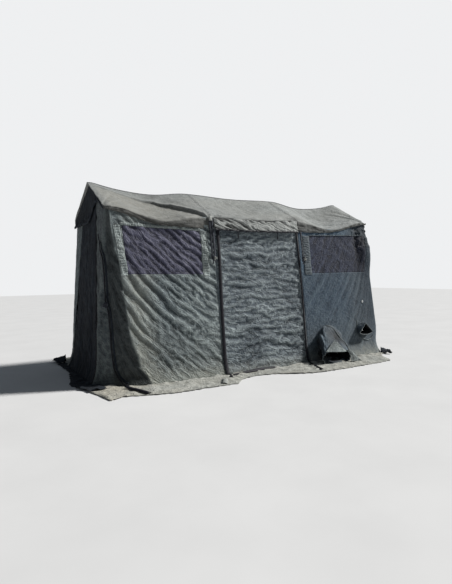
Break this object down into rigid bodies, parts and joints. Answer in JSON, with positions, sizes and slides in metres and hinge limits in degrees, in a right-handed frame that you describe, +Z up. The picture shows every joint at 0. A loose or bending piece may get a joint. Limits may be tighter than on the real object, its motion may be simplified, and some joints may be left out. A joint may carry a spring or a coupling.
{
  "type": "military frame tent",
  "caption": "Ridge tent of canvas on a tube frame, with flared walls, a zipped door between two covered windows, duct sleeves low on one side and sod cloth on the ground.",
  "frame": {"origin": "on the floor in the middle of the tent's ground cloth", "axes": "+X along the ridge, to the right seen from the door side; +Y from the door side to the back; +Z up"},
  "size_m": [4.9, 2.9285, 2.4268],
  "materials": {
    "roof_canvas": "sun-bleached grey-green coated canvas, matt",
    "wall_canvas": "dark grey-green coated canvas, creased, with a faint sheen",
    "window_cloth": "dark blue-grey window cover cloth, matt",
    "sod_cloth": "dusty pale sod cloth, matt",
    "zip_tape": "black zip tape",
    "webbing": "dark woven webbing",
    "frame_tube": "dull drawn tube",
    "frame_steel": "olive paint, satin"
  },
  "bodies": {
    "root": {"leg_front_1": "frame_tube", "leg_front_2": "frame_tube", "leg_front_3": "frame_tube", "leg_front_4": "frame_tube", "leg_back_1": "frame_tube", "leg_back_2": "frame_tube", "leg_back_3": "frame_tube", "leg_back_4": "frame_tube", "rafter_front_1": "frame_tube", "rafter_front_2": "frame_tube", "rafter_front_3": "frame_tube", "rafter_front_4": "frame_tube", "rafter_back_1": "frame_tube", "rafter_back_2": "frame_tube", "rafter_back_3": "frame_tube", "rafter_back_4": "frame_tube", "ridge_joint_1": "frame_steel", "ridge_joint_2": "frame_steel", "ridge_joint_3": "frame_steel", "ridge_joint_4": "frame_steel", "ridge_pole": "frame_tube", "eave_rail_front": "frame_tube", "eave_rail_back": "frame_tube", "roof_front": "roof_canvas", "roof_back": "roof_canvas", "gable_end_left": "roof_canvas", "gable_end_right": "roof_canvas", "door_pelmet": "roof_canvas", "wall_front_left": "wall_canvas", "wall_front_right": "wall_canvas", "wall_back_left": "wall_canvas", "wall_back_middle": "wall_canvas", "wall_back_right": "wall_canvas", "wall_gable_left": "wall_canvas", "wall_gable_right": "wall_canvas", "corner_zip_left": "zip_tape", "corner_zip_right": "zip_tape", "door_panel": "wall_canvas", "door_zip_left": "zip_tape", "door_zip_right": "zip_tape", "tie_strap_left": "webbing", "tie_strap_right": "webbing", "window_front_left": "window_cloth", "window_front_right": "window_cloth", "window_back_left": "window_cloth", "window_back_right": "window_cloth", "duct_sleeve": "wall_canvas", "cable_sleeve": "wall_canvas", "sod_front": "sod_cloth", "sod_back": "sod_cloth", "sod_left": "sod_cloth", "sod_right": "sod_cloth", "corner_flap_front_right": "wall_canvas", "corner_flap_back_left": "wall_canvas"}
  },
  "joints": []
}
